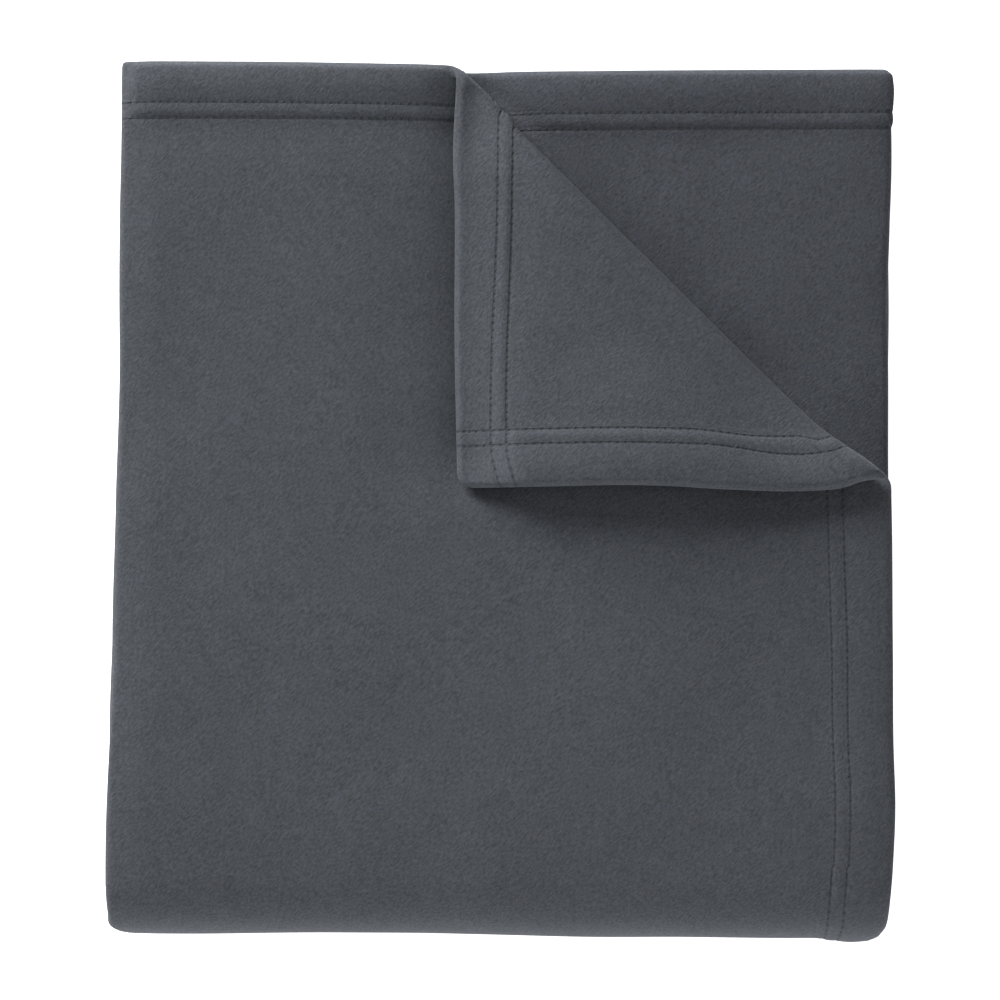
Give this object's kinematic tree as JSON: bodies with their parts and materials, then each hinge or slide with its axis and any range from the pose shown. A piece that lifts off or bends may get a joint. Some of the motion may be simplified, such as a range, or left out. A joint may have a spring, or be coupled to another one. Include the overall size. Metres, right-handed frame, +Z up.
{
  "type": "folded throw blanket",
  "caption": "Hemmed fleece throw, folded flat into a neat stack, whose upper half opens at the front roll and whose top corner is turned back to show the underside.",
  "frame": {"origin": "centre of the underside, on the surface the folded throw lies on", "axes": "+X to the side with the hemmed edges, +Y to the hemmed ends, away from the front roll, +Z up through the stack"},
  "size_m": [0.336, 0.376, 0.0672],
  "materials": {
    "fleece": "matte brushed pile",
    "sewing_thread": "matte spun polyester"
  },
  "bodies": {
    "lower_half": {"panel_09": "fleece", "panel_10": "fleece", "panel_11": "fleece", "panel_12": "fleece", "panel_13": "fleece", "panel_14": "fleece", "panel_15": "fleece", "panel_16": "fleece", "side_hem_09": "fleece", "side_hem_12": "fleece", "side_hem_13": "fleece", "side_hem_16": "fleece", "left_fold_09_10": "fleece", "left_fold_11_12": "fleece", "left_fold_13_14": "fleece", "left_fold_15_16": "fleece", "right_fold_10_11": "fleece", "right_fold_14_15": "fleece", "lower_half_stitching": "sewing_thread", "front_fold_outer": "fleece", "front_fold_inner": "fleece", "back_fold": "fleece"},
    "upper_half": {"panel_01": "fleece", "panel_02": "fleece", "panel_03": "fleece", "panel_04": "fleece", "panel_05": "fleece", "panel_06": "fleece", "panel_07": "fleece", "panel_08": "fleece", "end_hem_01": "fleece", "end_hem_02": "fleece", "end_hem_03": "fleece", "end_hem_04": "fleece", "end_hem_05": "fleece", "end_hem_06": "fleece", "end_hem_07": "fleece", "end_hem_08": "fleece", "side_hem_01": "fleece", "side_hem_04": "fleece", "side_hem_05": "fleece", "side_hem_08": "fleece", "left_fold_01_02": "fleece", "left_fold_03_04": "fleece", "left_fold_05_06": "fleece", "left_fold_07_08": "fleece", "right_fold_02_03": "fleece", "right_fold_06_07": "fleece", "top_panel_stitching": "sewing_thread", "upper_half_stitching": "sewing_thread", "corner_fold": "fleece"},
    "turned_corner": {"corner_panel": "fleece", "corner_end_hem": "fleece", "corner_side_hem": "fleece", "corner_stitching": "sewing_thread"}
  },
  "joints": [
    {"name": "front_fold", "type": "hinge", "parent": "lower_half", "child": "upper_half", "pos_m": [0, -0.16175, 0.02625], "axis": [1, 0, 0], "range_deg": [0, 180], "deforming": ["front_fold_outer", "front_fold_inner"]},
    {"name": "corner_crease", "type": "hinge", "parent": "upper_half", "child": "turned_corner", "pos_m": [-0.021, 0.188, 0.05265], "axis": [-0.7145, 0.6997, 0], "range_deg": [0, 175], "deforming": ["corner_fold"]}
  ]
}
